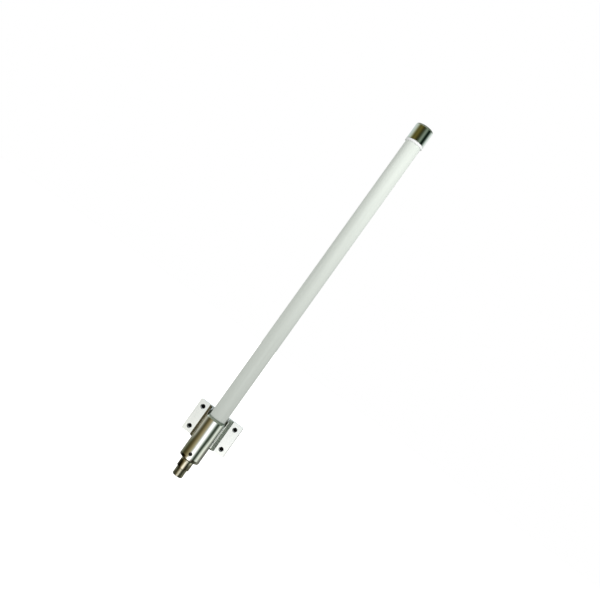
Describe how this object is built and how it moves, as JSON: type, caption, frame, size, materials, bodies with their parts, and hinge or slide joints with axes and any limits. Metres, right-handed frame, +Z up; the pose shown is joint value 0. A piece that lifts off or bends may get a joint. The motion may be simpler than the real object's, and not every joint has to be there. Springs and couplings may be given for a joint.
{
  "type": "omnidirectional antenna",
  "caption": "Outdoor rod antenna: pale fibreglass radome with polished cap and base tube, saddle bracket for a mast, and a coaxial jack underneath.",
  "frame": {"origin": "centre of the bracket's flat back face, which goes against the mast", "axes": "+Z up along the antenna towards its cap, +Y out of the bracket's back towards the mast, +X to the right seen from the front"},
  "size_m": [0.074, 0.0341, 0.6077],
  "materials": {
    "radome_fibreglass": "pale grey-white glass-fibre tube, satin gel coat",
    "polished_steel": "mirror polished",
    "bracket_aluminium": "fine satin, machined from extrusion",
    "plug_aluminium": "turned",
    "jack_nickel": "nickel plated, polished",
    "screw_dark_steel": "black oxide",
    "black_rubber": "matt black",
    "rim_silicone": "grey-green sealant, satin",
    "white_ptfe": "natural white, waxy",
    "radiator_brass": "bright drawn brass",
    "coax_copper": "bare copper",
    "centring_foam": "closed-cell foam"
  },
  "bodies": {
    "root": {"radome_tube": "radome_fibreglass", "top_cap": "polished_steel", "cap_ring": "white_ptfe", "base_tube": "polished_steel", "rim_seal": "rim_silicone", "saddle_bracket": "bracket_aluminium", "base_plug": "plug_aluminium", "bracket_screw_lower": "screw_dark_steel", "bracket_screw_upper": "screw_dark_steel", "set_screw_front": "screw_dark_steel", "set_screw_left": "screw_dark_steel", "set_screw_right": "screw_dark_steel", "jack_washer": "screw_dark_steel", "hole_plug_top_left": "black_rubber", "hole_plug_top_right": "black_rubber", "hole_plug_bottom_left": "black_rubber", "hole_plug_bottom_right": "black_rubber", "cap_gasket": "black_rubber", "jack_gasket": "black_rubber", "connector_shell": "jack_nickel", "jack_nut": "jack_nickel", "jack_insulator": "white_ptfe", "coax_dielectric": "white_ptfe", "top_support": "white_ptfe", "feed_spacer_1": "white_ptfe", "feed_spacer_2": "white_ptfe", "feed_spacer_3": "white_ptfe", "feed_spacer_4": "white_ptfe", "jack_contact": "radiator_brass", "dipole_1_lower": "radiator_brass", "dipole_1_upper": "radiator_brass", "dipole_2_lower": "radiator_brass", "dipole_2_upper": "radiator_brass", "dipole_3_lower": "radiator_brass", "dipole_3_upper": "radiator_brass", "dipole_4_lower": "radiator_brass", "dipole_4_upper": "radiator_brass", "coax_core": "coax_copper", "coax_section_1": "coax_copper", "coax_section_2": "coax_copper", "coax_section_3": "coax_copper", "coax_section_4": "coax_copper", "coax_section_5": "coax_copper", "centring_disc_1": "centring_foam", "centring_disc_2": "centring_foam", "centring_disc_3": "centring_foam", "centring_disc_4": "centring_foam", "centring_disc_5": "centring_foam"}
  },
  "joints": []
}
